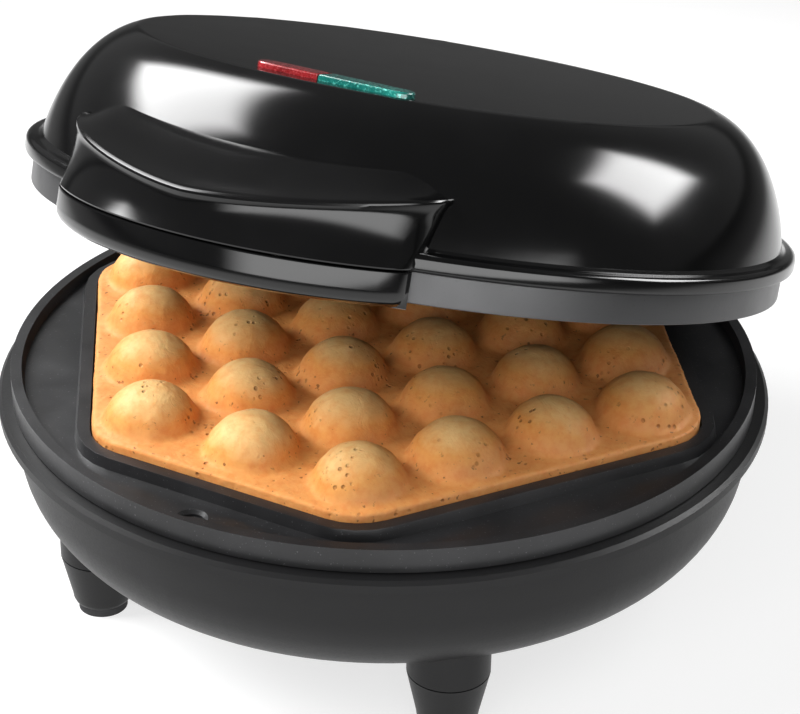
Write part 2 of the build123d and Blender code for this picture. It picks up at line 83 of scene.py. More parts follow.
def selectWhere(obj, test, kind="VERT"):
    # test gets a vertex or an edge and says whether it is taken
    data = bmesh.from_edit_mesh(obj.data)
    bpy.ops.mesh.select_mode(type=kind)
    for part in (data.verts, data.edges, data.faces):
        for item in part:
            item.select = False
    parts = {"VERT": data.verts, "EDGE": data.edges}[kind]
    for item in parts:
        if test(item):
            item.select_set(True)
    data.select_flush_mode()
    bmesh.update_edit_mesh(obj.data)


def drawLine(name, points, closed=False):
    # a small square shrunk to one point, which is extruded from place to place
    letGo()
    bpy.ops.mesh.primitive_plane_add(size=mm, location=(0, 0, 0))
    obj = bpy.context.object
    obj.name = name
    edit(obj)
    bpy.ops.mesh.select_all(action="SELECT")
    bpy.ops.mesh.merge(type="CENTER")
    bpy.ops.transform.translate(value=Vector(points[0]) * mm)
    here = Vector(points[0])
    for point in points[1:]:
        step = (Vector(point) - here) * mm
        bpy.ops.mesh.extrude_region_move(TRANSFORM_OT_translate={"value": step})
        here = Vector(point)
    if closed:
        bpy.ops.mesh.select_all(action="SELECT")
        bpy.ops.mesh.edge_face_add()
    bpy.ops.object.mode_set(mode="OBJECT")
    return obj


def turn(name, profile, steps):
    # profile is (radius, height) from one end to the other, spun about the bowl's axis
    obj = drawLine(name, [(r, 0, z) for r, z in profile])
    edit(obj)
    bpy.ops.mesh.select_all(action="SELECT")
    bpy.ops.mesh.spin(steps=steps, angle=2 * math.pi, center=(0, 0, 0), axis=(0, 0, 1))
    bpy.ops.mesh.select_all(action="SELECT")
    bpy.ops.mesh.remove_doubles(threshold=weld["spun"])
    bpy.ops.mesh.normals_make_consistent(inside=False)
    bpy.ops.object.mode_set(mode="OBJECT")
    return obj


def loft(name, rings):
    # open lines of equal length, bridged in order
    lines = [drawLine(name, ring) for ring in rings]
    pick(*lines)
    bpy.ops.object.join()
    obj = bpy.context.object
    obj.name = name
    count = len(rings[0])
    for k in range(len(rings) - 1):
        edit(obj)
        first, last = k * count, (k + 2) * count
        selectWhere(obj, lambda e: first <= e.verts[0].index < last
                    and first <= e.verts[1].index < last and len(e.link_faces) < 2
                    and (e.verts[0].index - first) // count
                    == (e.verts[1].index - first) // count, "EDGE")
        bpy.ops.mesh.bridge_edge_loops()
    bpy.ops.object.mode_set(mode="OBJECT")
    return obj


def modify(obj, kind, **settings):
    pick(obj)
    bpy.ops.object.modifier_add(type=kind)
    modifier = obj.modifiers[-1]
    for key, value in settings.items():
        setattr(modifier, key, value)
    bpy.ops.object.modifier_apply(modifier=modifier.name)


def cleanUp(obj):
    edit(obj)
    bpy.ops.mesh.select_all(action="SELECT")
    bpy.ops.mesh.remove_doubles(threshold=weld["swept"])
    bpy.ops.mesh.normals_make_consistent(inside=False)
    bpy.ops.object.mode_set(mode="OBJECT")


def settle(obj, matrix):
    # the place goes into the mesh
    obj.matrix_world = matrix @ obj.matrix_world
    pick(obj)
    bpy.ops.object.transform_apply(location=True, rotation=True, scale=True)


def smooth(obj, angle):
    pick(obj)
    bpy.ops.object.shade_smooth_by_angle(angle=math.radians(angle))
    # broad flat faces keep their own shade, and only the rounded edges blend
    modify(obj, "WEIGHTED_NORMAL", keep_sharp=True, weight=100)


def join(name, *objs):
    pick(*objs)
    bpy.ops.object.join()
    bpy.context.object.name = name
    return bpy.context.object


def bubbleCentres():
    spots = []
    for row in range(-bubbles["outer"], bubbles["outer"] + 1):
        count = bubbles["middle"] - abs(row)
        for k in range(count):
            spots.append(((k - (count - 1) / 2) * bubbles["pitch"], row * bubbles["row"]))
    return spots


def roundHexagon(reach, z=0.0, arc=6):
    # the hexagon round the outer bubbles, moved out by reach with round corners
    end = (bubbles["middle"] - bubbles["outer"] - 1) / 2 * bubbles["pitch"]
    side = (bubbles["middle"] - 1) / 2 * bubbles["pitch"]
    high = bubbles["outer"] * bubbles["row"]
    corners = [(side, 0), (end, high), (-end, high), (-side, 0), (-end, -high), (end, -high)]
    points = []
    for k in range(6):
        before, here, after = corners[k - 1], corners[k], corners[(k + 1) % 6]
        start = math.atan2(-(here[0] - before[0]), here[1] - before[1])
        stop = math.atan2(-(after[0] - here[0]), after[1] - here[1])
        while stop < start:
            stop += 2 * math.pi
        for n in range(arc + 1):
            angle = start + (stop - start) * n / arc
            points.append((here[0] + reach * math.cos(angle), here[1] + reach * math.sin(angle), z))
    return points


# Shader sums: a socket that takes part in Python expressions

class Value:
    def __init__(self, tree, socket):
        self.tree, self.socket = tree, socket

    def maths(self, operation, other=0.0, turned=False):
        node = self.tree.nodes.new("ShaderNodeMath")
        node.operation = operation
        pair = (other, self) if turned else (self, other)
        for slot, value in zip(node.inputs, pair):
            plug(self.tree, slot, value)
        return Value(self.tree, node.outputs[0])

    def __add__(self, other): return self.maths("ADD", other)
    def __radd__(self, other): return self.maths("ADD", other)
    def __sub__(self, other): return self.maths("SUBTRACT", other)
    def __rsub__(self, other): return self.maths("SUBTRACT", other, True)
    def __mul__(self, other): return self.maths("MULTIPLY", other)
    def __truediv__(self, other): return self.maths("DIVIDE", other)
    def __pow__(self, other): return self.maths("POWER", other)

    def inRange(self, low, high):
        # 0 below low, 1 above high, soft between
        node = self.tree.nodes.new("ShaderNodeMapRange")
        node.interpolation_type = "SMOOTHSTEP"
        for name, value in (("Value", self), ("From Min", low), ("From Max", high)):
            plug(self.tree, node.inputs[name], value)
        return Value(self.tree, node.outputs["Result"])


def plug(tree, slot, value):
    if isinstance(value, Value):
        tree.links.new(value.socket, slot)
    else:
        slot.default_value = value


class Finish:
    def __init__(self, name, **fixed):
        self.material = bpy.data.materials.new(name)
        self.material.use_nodes = True
        self.tree = self.material.node_tree
        self.tree.nodes.clear()
        self.shader = self.tree.nodes.new("ShaderNodeBsdfPrincipled")
        self.output = self.tree.nodes.new("ShaderNodeOutputMaterial")
        self.tree.links.new(self.shader.outputs[0], self.output.inputs["Surface"])
        for key, value in fixed.items():
            self.set(key, value)

    def set(self, key, value):
        name = {"colour": "Base Color", "roughness": "Roughness", "metallic": "Metallic",
                "ior": "IOR", "specular": "Specular IOR Level", "coat": "Coat Weight",
                "coatRoughness": "Coat Roughness", "normal": "Normal",
                "under": "Subsurface Weight", "underScale": "Subsurface Scale",
                "underRadius": "Subsurface Radius"}[key]
        if isinstance(value, tuple) and len(value) == 3 and name != "Subsurface Radius":
            value = (*value, 1)
        plug(self.tree, self.shader.inputs[name], value)

    def add(self, kind, settings=None, sockets=None, out=0):
        node = self.tree.nodes.new(kind)
        for key, value in (settings or {}).items():
            if key == "stops":
                while len(node.color_ramp.elements) < len(value):
                    node.color_ramp.elements.new(0.5)
                for element, (where, colour) in zip(node.color_ramp.elements, value):
                    element.position, element.color = where, (*colour, 1)
            else:
                setattr(node, key, value)
        for key, value in (sockets or {}).items():
            plug(self.tree, node.inputs[key], value)
        return Value(self.tree, node.outputs[out])

    def here(self):
        return self.add("ShaderNodeTexCoord", out="Object")

    def axis(self, name):
        return self.add("ShaderNodeSeparateXYZ", None, {0: self.here()}, name)

    def noise(self, scale, detail, rough=0.5, warp=0.0):
        return self.add("ShaderNodeTexNoise", None,
                        {"Vector": self.here(), "Scale": scale, "Detail": detail,
                         "Roughness": rough, "Distortion": warp})

    def cells(self, scale, out=0):
        return self.add("ShaderNodeTexVoronoi", None,
                        {"Vector": self.here(), "Scale": scale}, out)

    def ramp(self, value, *stops):
        return self.add("ShaderNodeValToRGB", {"stops": stops}, {"Fac": value})

    def blend(self, share, first, second, how="MIX"):
        first = (*first, 1) if isinstance(first, tuple) else first
        second = (*second, 1) if isinstance(second, tuple) else second
        return self.add("ShaderNodeMix", {"data_type": "RGBA", "blend_type": how},
                        {0: share, 6: first, 7: second}, 2)

    def bump(self, height, strength, depth, under=None):
        sockets = {"Height": height, "Strength": strength, "Distance": depth}
        if under:
            sockets["Normal"] = under
        return self.add("ShaderNodeBump", None, sockets)


print("tools ready")


# Finishes

def glossyBlack():
    look = {"black": (0.003, 0.003, 0.0032), "dusty": (0.006, 0.006, 0.0062),
            "roughness": 0.1, "haze": 0.07, "specks": 0.08, "ripple": 0.05, "depth": 0.00005}
    f = Finish("gloss black shell", ior=1.5, specular=0.5)
    cloud = f.noise(28.0, 4)
    f.set("colour", f.blend(cloud.inRange(0.35, 0.75), look["black"], look["dusty"]))
    specks = f.noise(900.0, 2).inRange(0.68, 0.8) * look["specks"]
    f.set("roughness", f.noise(60.0, 3) * look["haze"] + look["roughness"] + specks)
    f.set("normal", f.bump(f.noise(220.0, 2), look["ripple"], look["depth"]))
    return f.material


def satinBlack():
    look = {"dark": (0.008, 0.008, 0.0085), "light": (0.014, 0.014, 0.0145),
            "roughness": 0.36, "spread": 0.16, "bump": 0.35, "depth": 0.00006}
    f = Finish("spark textured base shell", ior=1.45, specular=0.3)
    grain = f.noise(1500.0, 3, 0.6)
    f.set("colour", f.blend(f.noise(35.0, 4), look["dark"], look["light"]))
    f.set("roughness", grain * look["spread"] + look["roughness"])
    f.set("normal", f.bump(grain, look["bump"], look["depth"]))
    return f.material


def lidRadius(f):
    # how far a spot on the open lid lies from the plates' axis, in mm
    y = f.axis("Y") / mm - (place["bowlY"] + place["hingeY"])
    z = f.axis("Z") / mm - (place["parting"] + place["hingeZ"])
    swing = math.radians(place["lidOpen"])
    along = y * math.cos(swing) - z * math.sin(swing) + place["hingeY"]
    return ((f.axis("X") / mm) ** 2 + along ** 2) ** 0.5


def satinCoating(name, paintedSheenRim=False):
    # the rim colour and its metal lift are a painted sheen on the upper plate's edge
    look = {"dark": (0.018, 0.018, 0.019), "light": (0.034, 0.034, 0.036),
            "fleck": (0.11, 0.11, 0.115), "rim": (0.065, 0.065, 0.067),
            "rimFrom": 93.4, "rimFull": 93.7, "metallic": 0.25, "fleckMetal": 0.3,
            "rimSheenMetal": 0.1, "roughness": 0.28, "spread": 0.16, "bump": 0.3, "depth": 0.00006}
    f = Finish(name, ior=1.5, specular=0.55)
    soft = f.noise(45.0, 5)
    tone = f.blend(soft.inRange(0.3, 0.7), look["dark"], look["light"])
    flecks = f.noise(1900.0, 1).inRange(0.7, 0.76)
    tone = f.blend(flecks, tone, look["fleck"])
    shine = flecks * look["fleckMetal"] + look["metallic"]
    if paintedSheenRim:
        # painted sheen: the coating is painted a little lighter and more metallic on the upper
        # plate's edge, standing in for the reflection that edge catches
        rim = lidRadius(f).inRange(look["rimFrom"], look["rimFull"])
        tone = f.blend(rim, tone, look["rim"])
        shine = shine + rim * look["rimSheenMetal"]
    f.set("colour", tone)
    f.set("metallic", shine)
    f.set("roughness", f.noise(120.0, 4) * look["spread"] + look["roughness"])
    f.set("normal", f.bump(f.noise(900.0, 3, 0.6), look["bump"], look["depth"]))
    return f.material


def bakedWaffle():
    look = {"pale": (0.92, 0.57, 0.235), "gold": (0.83, 0.375, 0.1), "brown": (0.8, 0.355, 0.11),
            "burnt": (0.18, 0.06, 0.017), "bubbleTop": 11.0, "blotch": 0.75, "patch": 0.9,
            "mottle": 0.35, "pits": 0.5, "specks": 0.8, "roughness": 0.48, "spread": 0.2,
            "topShine": 0.08}
    f = Finish("baked waffle crust", ior=1.4, specular=0.3, under=0.08, underScale=0.004,
               underRadius=(1.0, 0.5, 0.2))
    height = (f.axis("Z") - place["parting"] * mm) / (look["bubbleTop"] * mm)
    blotch = f.noise(55.0, 5, 0.55, 0.4)
    patch = f.noise(22.0, 2)
    level = height + (blotch - 0.5) * look["blotch"] + (patch - 0.5) * look["patch"]
    # the colour runs by height, brown low down between the bubbles and pale on the bubble tops,
    # with noise moving the bands
    crust = f.ramp(level, (0.0, look["brown"]), (0.28, look["brown"]), (0.58, look["gold"]),
                   (0.95, look["pale"]))
    fine = f.noise(420.0, 4, 0.65)
    mottle = fine.inRange(0.35, 0.75) * look["mottle"]
    crust = f.blend(mottle, crust, look["gold"], "MULTIPLY")
    # burst bubbles of batter come in patches, and specks stay in the valleys
    pits = (1 - f.cells(480.0).inRange(0.12, 0.3)) * f.noise(95.0, 3).inRange(0.52, 0.66)
    specks = f.noise(700.0, 2).inRange(0.66, 0.75) * (1 - height.inRange(0.3, 1.0))
    marks = (pits * look["pits"]).maths("MAXIMUM", specks * look["specks"])
    f.set("colour", f.blend(marks, crust, look["burnt"]))
    shine = height.inRange(0.4, 1.0) * look["topShine"]
    f.set("roughness", fine * look["spread"] + look["roughness"] - shine)
    skin = f.bump(f.noise(150.0, 4, 0.6, 1.2), 0.45, 0.0008)
    skin = f.bump(fine, 0.4, 0.0003, skin)
    f.set("normal", f.bump(1 - pits, 0.8, 0.0007, skin))
    return f.material


def metal(name, colour, roughness, grain=400.0):
    f = Finish(name, metallic=1.0)
    wear = f.noise(grain, 4)
    low = tuple(c * 0.72 for c in colour)
    f.set("colour", f.blend(wear.inRange(0.25, 0.75), low, colour))
    f.set("roughness", f.noise(grain * 0.3, 3) * 0.22 + roughness - 0.1)
    f.set("normal", f.bump(wear, 0.2, 0.00008))
    return f.material


def solid(name, colour, roughness, grain=300.0, depth=0.0001):
    f = Finish(name)
    cloud = f.noise(grain * 0.15, 4)
    fine = f.noise(grain, 3)
    low = tuple(c * 0.75 for c in colour)
    f.set("colour", f.blend(cloud.inRange(0.3, 0.7), low, colour))
    f.set("roughness", fine * 0.16 + roughness - 0.08)
    f.set("normal", f.bump(fine, 0.25, depth))
    return f.material


def lensWithPaintedGlints(name, deep, bright, glintAndGlitter):
    f = Finish(name, ior=1.5, coat=1.0, coatRoughness=0.08)
    glint = f.cells(2600.0, out="Color")
    spark = f.add("ShaderNodeSeparateColor", None, {0: glint}, "Red")
    shade = f.blend(f.noise(180.0, 3).inRange(0.3, 0.75), deep, bright)
    pale = tuple(min(1.0, c * 2.2 + 0.12) for c in bright)
    # painted glints: where the cells spark, pale flecks are painted into the colour, with a little
    # metal and bump for the lens's fine ribs
    f.set("colour", f.blend(spark.inRange(0.75, 1.0) * glintAndGlitter, shade, pale))
    f.set("metallic", spark.inRange(0.6, 1.0) * 0.4 * glintAndGlitter)
    f.set("roughness", 0.2 + spark * 0.15)
    f.set("normal", f.bump(spark, 0.3 * glintAndGlitter, 0.0001))
    return f.material


finishes = {
    "gloss_plastic": glossyBlack(),
    "base_plastic": satinBlack(),
    "plate_coating": satinCoating("non stick plate coating"),
    # the upper plate's coating carries a painted sheen on its edge
    "upper_coating_rim_sheen": satinCoating("upper plate coating", paintedSheenRim=True),
    "waffle": bakedWaffle(),
    "element_steel": metal("heater tube steel", (0.23, 0.21, 0.19), 0.42),
    "spring_steel": metal("clip spring steel", (0.5, 0.5, 0.5), 0.3),
    "reflector": metal("reflector aluminium", (0.72, 0.73, 0.74), 0.34, 150.0),
    "screw_steel": metal("zinc screw steel", (0.55, 0.55, 0.53), 0.32, 700.0),
    "thermostat_body": solid("thermostat case", (0.28, 0.26, 0.22), 0.5),
    "fuse_metal": metal("fuse can", (0.66, 0.62, 0.55), 0.3),
    "block_ceramic": solid("terminal ceramic", (0.72, 0.69, 0.62), 0.55, 500.0),
    "lead_sleeve": solid("glass braid sleeve", (0.66, 0.63, 0.55), 0.75, 1200.0, 0.0003),
    "rubber": solid("foot rubber", (0.028, 0.028, 0.03), 0.75, 900.0),
    "red_lens": lensWithPaintedGlints("red lamp lens", (0.20, 0.008, 0.01), (0.42, 0.02, 0.025), 0.25),
    "green_lens": lensWithPaintedGlints("green lamp lens", (0.0, 0.1, 0.085), (0.01, 0.27, 0.22), 0.8),
    "lamp_glass": solid("lamp glass", (0.75, 0.72, 0.66), 0.15, 300.0),
}


def paint(obj, slot, finish=None):
    obj.data.materials.clear()
    obj.data.materials.append(finishes[finish or slot])


slotOf = {
    "base_housing": "base_plastic", "lower_plate": "plate_coating", "waffle": "waffle",
    "lower_heater": "element_steel", "lower_heater_clips": "spring_steel",
    "lower_reflector": "reflector", "lower_plate_screws": "screw_steel",
    "thermostat": "thermostat_body", "thermal_fuse": "fuse_metal",
    "terminal_block": "block_ceramic", "base_wiring": "lead_sleeve",
    "cord_bushing": "rubber", "hinge_pins": "screw_steel", "foot_screws": "screw_steel",
    "lid_housing": "gloss_plastic", "handle_cover": "gloss_plastic",
    "handle_screws": "screw_steel", "upper_plate": "plate_coating",
    "upper_heater": "element_steel", "upper_heater_clips": "spring_steel",
    "upper_reflector": "reflector", "upper_plate_screws": "screw_steel",
    "red_lens": "red_lens", "green_lens": "green_lens", "lamp_holder": "base_plastic",
    "red_lamp": "lamp_glass", "green_lamp": "lamp_glass", "lid_wiring": "lead_sleeve",
}
for name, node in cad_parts.items():
    slot = slotOf.get(name) or ("rubber" if name.startswith("foot_pad") else "base_plastic")
    paint(node, slot)
print("finishes on", len(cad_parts), "nodes")


# Lid shell: a turned dome with its bead and a flat facet across the crown, a swept handle in
# front and the hinge tail behind

dome = {"flat": 65.0, "reach": 29.3, "base": -5.0, "rise": 47.15, "power": 0.909,
        "foot": 11.6, "bead": 96.5, "beadBottom": 7.6, "wall": 90.8, "seat": 88.0,
        "ceiling": 38.6, "facetY": -74.0, "facetZ": 40.5, "facetTilt": 0.66, "crease": 0.8,
        "crown": 86, "rings": 26, "steps": 144, "onPlane": 0.02}


def domeRadius(z):
    rise = min(1.0, max(0.0, (z - dome["base"]) / dome["rise"]))
    angle = math.asin(min(1.0, rise ** (1 / dome["power"])))
    return dome["flat"] + dome["reach"] * math.cos(angle) ** dome["power"]


def domeProfile():
    points = [(60.0, dome["base"] + dome["rise"])]
    low = math.asin(((dome["foot"] + 0.8 - dome["base"]) / dome["rise"]) ** (1 / dome["power"]))
    crown = math.radians(dome["crown"])
    for k in range(dome["rings"] + 1):
        angle = crown + (low - crown) * k / dome["rings"]
        points.append((dome["flat"] + dome["reach"] * math.cos(angle) ** dome["power"],
                       dome["base"] + dome["rise"] * math.sin(angle) ** dome["power"]))
    top, rim, under = dome["foot"], dome["bead"], dome["beadBottom"]
    # a small fillet, then the rolled bead
    points += [(93.45, top + 0.25), (94.0, top), (rim - 1.4, top), (rim - 0.7, top - 0.15),
               (rim - 0.2, top - 0.6), (rim, top - 1.2), (rim, under + 0.9),
               (rim - 0.2, under + 0.35), (rim - 0.7, under), (dome["seat"], under),
               (dome["seat"], under + 3), (dome["wall"], under + 3), (84.5, 22.6),
               (68.5, dome["ceiling"]), (0, dome["ceiling"])]
    return points


def facetHeight(y):
    return dome["facetZ"] + (y - dome["facetY"]) * math.tan(math.radians(dome["facetTilt"]))


def makeDome():
    obj = turn("lid_dome", domeProfile(), dome["steps"])
    tilt = math.radians(dome["facetTilt"])
    edit(obj)
    bpy.ops.mesh.select_all(action="SELECT")
    bpy.ops.mesh.bisect(plane_co=(0, dome["facetY"] * mm, dome["facetZ"] * mm),
                        plane_no=(0, -math.sin(tilt), math.cos(tilt)),
                        use_fill=True, clear_outer=True, threshold=weld["spun"])
    onPlane = lambda v: abs(v.co.z / mm - facetHeight(v.co.y / mm)) < dome["onPlane"]
    selectWhere(obj, onPlane)
    bpy.ops.mesh.remove_doubles(threshold=weld["cut"])
    selectWhere(obj, lambda e: onPlane(e.verts[0]) and onPlane(e.verts[1]), "EDGE")
    bpy.ops.mesh.bevel(offset=dome["crease"] * mm, segments=3, affect="EDGES")
    bpy.ops.object.mode_set(mode="OBJECT")
    return obj


# Handle: a face that rises from the seam to the crest, and a hollow shelf back to the dome

handle = {"seamHalf": 45.5, "seamSide": -88.0, "seamFront": -110.0, "seamZ": 8.0,
          "crest": (47.4, -109.0, -77.3, 1.6), "crestZ": (17.7, 23.1, 1.55), "points": 61,
          "roll": 1.0, "hollow": 0.8, "shelfZ": 27.0, "shelfSag": 1.3, "cornerPoints": 3}


def seamArc(z, grow=0.0):
    # the seam's plan: one arc from its left end to its right
    half, side, front = handle["seamHalf"], handle["seamSide"], handle["seamFront"]
    sag = side - front
    radius = (half ** 2 + sag ** 2) / (2 * sag)
    reach = math.asin(half / radius)
    points = []
    for k in range(handle["points"]):
        angle = reach * (2 * k / (handle["points"] - 1) - 1)
        points.append(((radius + grow) * math.sin(angle),
                       front + radius - (radius + grow) * math.cos(angle), z))
    return points


def crestLine():
    half, front, side, power = handle["crest"]
    low, high, climb = handle["crestZ"]
    points = []
    for k in range(handle["points"]):
        t = (k / (handle["points"] - 1) - 0.5) * math.pi
        s, c = math.sin(t), max(0.0, math.cos(t))
        x = half * math.copysign(abs(s) ** (2 / power), s)
        points.append((x, side - (side - front) * c ** (2 / power),
                       low + (high - low) * abs(x / half) ** climb))
    return points


def shelfLine():
    points = []
    for x, _, _ in crestLine():
        high = handle["shelfZ"] + 1.4 * (x / 38) ** 2 - 5.0 * max(0.0, (abs(x) - 34) / 12) ** 2
        x *= 0.97
        reach = domeRadius(high) - 1.2
        points.append((x, -math.sqrt(max(0.0, reach ** 2 - x ** 2)), high))
    return points


def rooted(points, reach=80.0):
    # both ends turn a round corner and run on into the dome
    count = handle["cornerPoints"]

    def corner(end, inner):
        here, far = Vector(end), Vector(inner)
        root = Vector((here.x * 0.97, -math.sqrt(reach ** 2 - (here.x * 0.97) ** 2), here.z))
        back = here + (root - here).normalized() * min((far - here).length,
                                                       0.6 * (root - here).length)
        curve = []
        for k in range(count):
            t = k / count
            curve.append((1 - t) ** 2 * back + 2 * t * (1 - t) * here + t ** 2 * far)
        return [tuple(root)] + [tuple(p) for p in curve]

    left = corner(points[0], points[count])
    right = corner(points[-1], points[-1 - count])
    return left + points[count:-count] + right[::-1]


def between(first, second, share):
    return [tuple(Vector(a).lerp(Vector(b), share)) for a, b in zip(first, second)]


def makeHandle():
    crest, shelf, z = crestLine(), shelfLine(), handle["seamZ"]
    roll = handle["roll"]
    low = seamArc(z + 0.45)
    rings = [seamArc(z, -6.0), seamArc(z, -0.5), seamArc(z + 0.12, -0.13), low]
    for share in (0.2, 0.4, 0.6, 0.78):
        ring = between(low, crest, share)
        inward = 1 - handle["hollow"] * 4 * share * (1 - share) / 107
        rings.append([(x * inward, y * inward, z) for x, y, z in ring])
    rings.append([(x, y, z - roll * 1.5) for x, y, z in crest])
    rings.append([(x * 1.003, y * 1.003, z - roll * 0.8) for x, y, z in crest])
    rings.append([(x * 1.002, y * 1.002, z - roll * 0.25) for x, y, z in crest])
    rings.append([(x, y, z) for x, y, z in between(crest, shelf, 0.02)])
    rings.append([(x, y, z + 0.1) for x, y, z in between(crest, shelf, 0.06)])
    for share in (0.2, 0.4, 0.6, 0.8, 1.0):
        ring = between(crest, shelf, share)
        sag = handle["shelfSag"] * 4 * share * (1 - share)
        rings.append([(x, y, z - sag * (1 - abs(x) / 60)) for x, y, z in ring])
    rings.append([(x * 0.9, y * 0.9, z) for x, y, z in shelf])
    return loft("handle", [rooted(ring) for ring in rings])


hinge = {"half": 32.0, "knuckle": 6.0, "play": 0.9, "rear": 105.5, "shoulder": 12.0,
         "rootY": 87.0, "rootZ": 28.0}


def makeTail():
    y, z, r = place["hingeY"], place["hingeZ"], hinge["knuckle"]
    front = 97.5 + hinge["play"]
    points = [(y - r, z)]
    for k in range(1, 12):
        angle = math.pi * (1 + k / 12)
        points.append((y + r * math.cos(angle), z + r * math.sin(angle)))
    points += [(y + r, z), (hinge["rear"] + 0.4, -2), (hinge["rear"], hinge["shoulder"] - 3),
               (hinge["rear"] - 1.5, hinge["shoulder"] + 2),
               (96.5, 21.5), (hinge["rootY"], hinge["rootZ"] - 1), (80, 26), (80, 7.6),
               (front, 7.6), (front, -12.3)]
    obj = drawLine("tail", [(-hinge["half"], *p) for p in points], closed=True)
    edit(obj)
    bpy.ops.mesh.select_all(action="SELECT")
    bpy.ops.mesh.extrude_region_move(TRANSFORM_OT_translate={"value": (2 * hinge["half"] * mm,
                                                                       0, 0)})
    bpy.ops.mesh.select_all(action="SELECT")
    bpy.ops.mesh.normals_make_consistent(inside=False)
    bpy.ops.object.mode_set(mode="OBJECT")
    modify(obj, "BEVEL", width=1.2 * mm, segments=3, limit_method="ANGLE",
           angle_limit=math.radians(50))
    return obj


lidDome = makeDome()
print("dome turned")
lidHandle = makeHandle()
cleanUp(lidHandle)
print("handle swept")
lidTail = makeTail()
lidShell = join("lid_shell", lidDome, lidHandle, lidTail)
settle(lidShell, lidPlace())
smooth(lidShell, 32)
paint(lidShell, "gloss_plastic")
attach(lidShell, "lid")
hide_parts("lid_housing")
print("lid_shell", len(lidShell.data.polygons))


# Handle cover: the lower half of the handle, round the front of the bead

cover = {"inner": 96.8, "ends": 0.985,
         "skin": [(7.7, 0.5), (7.55, 0.12), (7.2, 0.0), (3.4, 0.0), (1.9, 0.25), (0.7, 0.95),
                  (-0.1, 2.0), (-0.5, 3.2), (-0.6, 4.4)]}


def makeCover():
    # each ring is pulled in at its height, and none passes the bore round the bead
    inner = cover["inner"]
    x = handle["seamHalf"] * cover["ends"]
    foot = (x, -math.sqrt(inner ** 2 - x ** 2))

    def ring(z, inset):
        points = rooted(seamArc(z, -inset), reach=inner)
        points = [(*(Vector(p[:2]) * max(1.0, inner / Vector(p[:2]).length)), z) for p in points]
        points[0], points[-1] = (-foot[0], foot[1], z), (foot[0], foot[1], z)
        return points

    def bore(z):
        reach = math.asin(foot[0] / inner)
        count = len(ring(z, 0))
        return [(inner * math.sin(reach * (2 * k / (count - 1) - 1)),
                 -inner * math.cos(reach * (2 * k / (count - 1) - 1)), z) for k in range(count)]

    rings = [ring(z, inset) for z, inset in cover["skin"]]
    top, bottom = cover["skin"][0][0], cover["skin"][-1][0]
    obj = loft("lid_handle_cover", rings + [bore(bottom), bore(top), rings[0]])
    cleanUp(obj)
    return obj


handleCover = makeCover()
settle(handleCover, lidPlace())
smooth(handleCover, 40)
paint(handleCover, "gloss_plastic")
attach(handleCover, "lid")
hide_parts("handle_cover")
print("lid_handle_cover", len(handleCover.data.polygons))


# The cover's two screws, up through it into the handle

coverScrew = {"x": 20.0, "y": -100.3, "head": 3.2, "headLow": 1.9, "shank": 1.6, "top": 11.5}


def makeCoverScrew(side):
    low, r = coverScrew["headLow"], coverScrew["head"]
    screw = turn("cover_screw", [(0, low), (r - 0.3, low), (r, low + 0.3), (r, low + 2.0),
                                 (coverScrew["shank"], low + 2.2),
                                 (coverScrew["shank"], coverScrew["top"]),
                                 (0, coverScrew["top"])], 24)
    pick(screw)
    bpy.ops.transform.translate(value=(side * coverScrew["x"] * mm, coverScrew["y"] * mm, 0))
    return screw


coverScrews = join("cover_screws", makeCoverScrew(-1), makeCoverScrew(1))
settle(coverScrews, lidPlace())
smooth(coverScrews, 35)
paint(coverScrews, "screw_steel")
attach(coverScrews, "lid")
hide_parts("handle_screws")


# Lamp lenses: one bar across the facet, red to the left of the joint and green to the right

lens = {"length": 39.6, "width": 6.5, "joint": -2.8, "gap": 0.3, "x": 8.6, "y": 9.0,
        "proud": 1.35, "depth": 1.6, "edge": 0.5, "arc": 9}


def makeLens(name, side):
    half, r = lens["length"] / 2, lens["width"] / 2
    start = lens["joint"] + side * lens["gap"] / 2
    points = [(start, -side * r), (start, side * r)]
    for k in range(lens["arc"] + 1):
        angle = math.pi * (0.5 - k / lens["arc"])
        points.append((side * (half - r + r * math.cos(angle)), side * r * math.sin(angle)))
    obj = drawLine(name, [(x, y, -lens["depth"]) for x, y in points], closed=True)
    edit(obj)
    bpy.ops.mesh.select_all(action="SELECT")
    rise = (lens["depth"] + lens["proud"]) * mm
    bpy.ops.mesh.extrude_region_move(TRANSFORM_OT_translate={"value": (0, 0, rise)})
    bpy.ops.mesh.select_all(action="SELECT")
    bpy.ops.mesh.normals_make_consistent(inside=False)
    high = lambda v: v.co.z > (lens["proud"] - 0.01) * mm
    selectWhere(obj, lambda e: all(high(v) for v in e.verts), "EDGE")
    bpy.ops.mesh.bevel(offset=lens["edge"] * mm, segments=3, affect="EDGES")
    bpy.ops.object.mode_set(mode="OBJECT")
    seat = Matrix.Translation(Vector((0, dome["facetY"], dome["facetZ"])) * mm)
    seat @= Matrix.Rotation(math.radians(dome["facetTilt"]), 4, "X")
    seat @= Matrix.Translation(Vector((lens["x"], lens["y"], 0)) * mm)
    settle(obj, lidPlace() @ seat)
    smooth(obj, 40)
    return obj


for name, side in (("red", -1), ("green", 1)):
    bar = makeLens(name + "_lamp_window", side)
    paint(bar, name + "_lens")
    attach(bar, "lid")
    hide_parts(name + "_lens")
print("lamp windows")


# Cooking plates: a turned casting with a hexagonal ridge round its recess

plate = {"core": 86.0, "depth": 15.0, "rim": 94.0, "mouth": 91.25, "draft": 0.6, "well": 2.8,
         "ridge": 17.4, "ridgeFoot": 18.2, "recess": 14.6, "recessDepth": 2.5,
         "lowerWall": 6.0, "upperWall": 7.0, "gap": 0.3, "edge": 0.55, "edgeAngle": 32,
         "dimple": 12.4, "dimpleRise": 0.4, "cupMouth": 11.8, "cupFloor": 6.4, "cupDepth": 9.0,
         "hole": 3.0, "holeDepth": 2.0, "holeY": -88.6, "chamfer": 0.8, "steps": 160}


